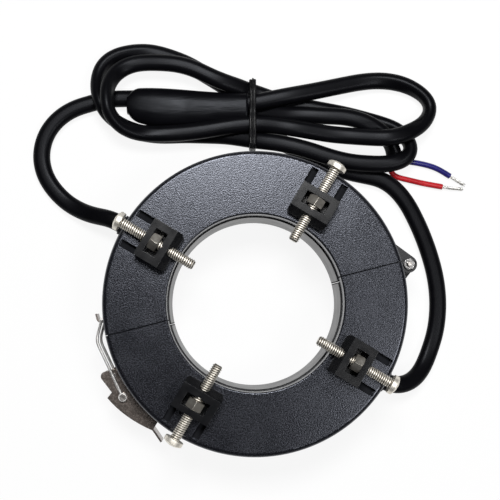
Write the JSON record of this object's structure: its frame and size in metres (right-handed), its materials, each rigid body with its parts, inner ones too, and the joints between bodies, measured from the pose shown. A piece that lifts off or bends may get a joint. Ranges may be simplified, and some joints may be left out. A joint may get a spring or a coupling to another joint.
{
  "type": "split-core current transformer",
  "caption": "Round split-core current transformer: two hinged black half rings with a toggle latch, clamp screws round the window and a tied output cable.",
  "frame": {"origin": "centre of the window in the plane of the base", "axes": "+Z along the window's axis, out of the face that carries the clamps; +X towards the hinge; +Y towards the half that carries the latch's keeper; the halves part along Y = 0"},
  "size_m": [0.2146, 0.221, 0.0552],
  "materials": {
    "housing_tub": "fine spark-eroded grain on the outside, smooth bore",
    "housing_cover": "coarse spark-eroded grain",
    "core_steel": "wound silicon steel strip, ground cut faces",
    "winding_tape": "polyester film tape over enamelled copper wire",
    "hinge_hardware": "nickel plated",
    "latch_sheet": "stamped stainless sheet",
    "latch_rivets": "stainless",
    "bail_wire": "polished stainless wire",
    "clamp_plastic": "satin moulded",
    "screw_steel": "nickel plated, machine thread",
    "nut_steel": "nickel plated",
    "grommet_rubber": "matte",
    "cable_jacket": "smooth PVC, soft shine",
    "sleeve_film": "heat-shrink, satin",
    "tie_plastic": "satin",
    "red_insulation": "smooth PVC",
    "blue_insulation": "smooth PVC",
    "tinned_copper": "twisted tinned strands"
  },
  "bodies": {
    "upper_half": {"upper_case": "housing_tub", "upper_cover": "housing_cover", "upper_core": "core_steel", "upper_winding": "winding_tape", "hinge_bolt": "hinge_hardware", "hinge_nut": "hinge_hardware", "latch_keeper": "latch_sheet", "keeper_rivets": "latch_rivets", "clamp_block_1": "clamp_plastic", "clamp_block_2": "clamp_plastic", "clamp_nut_1": "nut_steel", "clamp_nut_2": "nut_steel", "upper_grommet": "grommet_rubber", "upper_lead": "cable_jacket", "lower_lead": "cable_jacket", "splice_sleeve": "sleeve_film", "output_cable": "cable_jacket", "cable_tie": "tie_plastic", "red_core": "red_insulation", "blue_core": "blue_insulation", "red_conductor": "tinned_copper", "blue_conductor": "tinned_copper"},
    "lower_half": {"lower_case": "housing_tub", "lower_cover": "housing_cover", "lower_core": "core_steel", "lower_winding": "winding_tape", "latch_base": "latch_sheet", "base_rivets": "latch_rivets", "latch_pivot_pin": "latch_rivets", "clamp_block_3": "clamp_plastic", "clamp_block_4": "clamp_plastic", "clamp_nut_3": "nut_steel", "clamp_nut_4": "nut_steel", "lower_grommet": "grommet_rubber"},
    "latch_lever": {"latch_lever": "latch_sheet", "bail_pin": "latch_rivets"},
    "latch_bail": {"latch_bail": "bail_wire"},
    "clamp_screw_1": {"clamp_screw_1": "screw_steel"},
    "clamp_screw_2": {"clamp_screw_2": "screw_steel"},
    "clamp_screw_3": {"clamp_screw_3": "screw_steel"},
    "clamp_screw_4": {"clamp_screw_4": "screw_steel"}
  },
  "joints": [
    {"name": "housing_hinge", "type": "hinge", "parent": "upper_half", "child": "lower_half", "pos_m": [0.078, 0, 0.0195], "axis": [0, 0, 1], "range_deg": [0, 95], "deforming": ["lower_lead"]},
    {"name": "latch_lever_pivot", "type": "hinge", "parent": "lower_half", "child": "latch_lever", "pos_m": [-0.07589, -0.0175, 0.02], "axis": [0, 0, -1], "range_deg": [0, 95]},
    {"name": "bail_pivot", "type": "hinge", "parent": "latch_lever", "child": "latch_bail", "pos_m": [-0.07402, -0.0288, 0.02], "axis": [0, 0, -1], "range_deg": [-74, 0]},
    {"name": "clamp_screw_1_travel", "type": "slide", "parent": "upper_half", "child": "clamp_screw_1", "axis": [-0.7071, -0.7071, 0], "range_m": [-0.012, 0.0125]},
    {"name": "clamp_screw_2_travel", "type": "slide", "parent": "upper_half", "child": "clamp_screw_2", "axis": [0.7071, -0.7071, 0], "range_m": [-0.012, 0.0125]},
    {"name": "clamp_screw_3_travel", "type": "slide", "parent": "lower_half", "child": "clamp_screw_3", "axis": [0.7071, 0.7071, 0], "range_m": [-0.012, 0.0125]},
    {"name": "clamp_screw_4_travel", "type": "slide", "parent": "lower_half", "child": "clamp_screw_4", "axis": [-0.7071, 0.7071, 0], "range_m": [-0.012, 0.0125]}
  ],
  "couplings": [
    {"joint": "bail_pivot", "follows": "latch_lever_pivot", "ratio": -0.769}
  ]
}
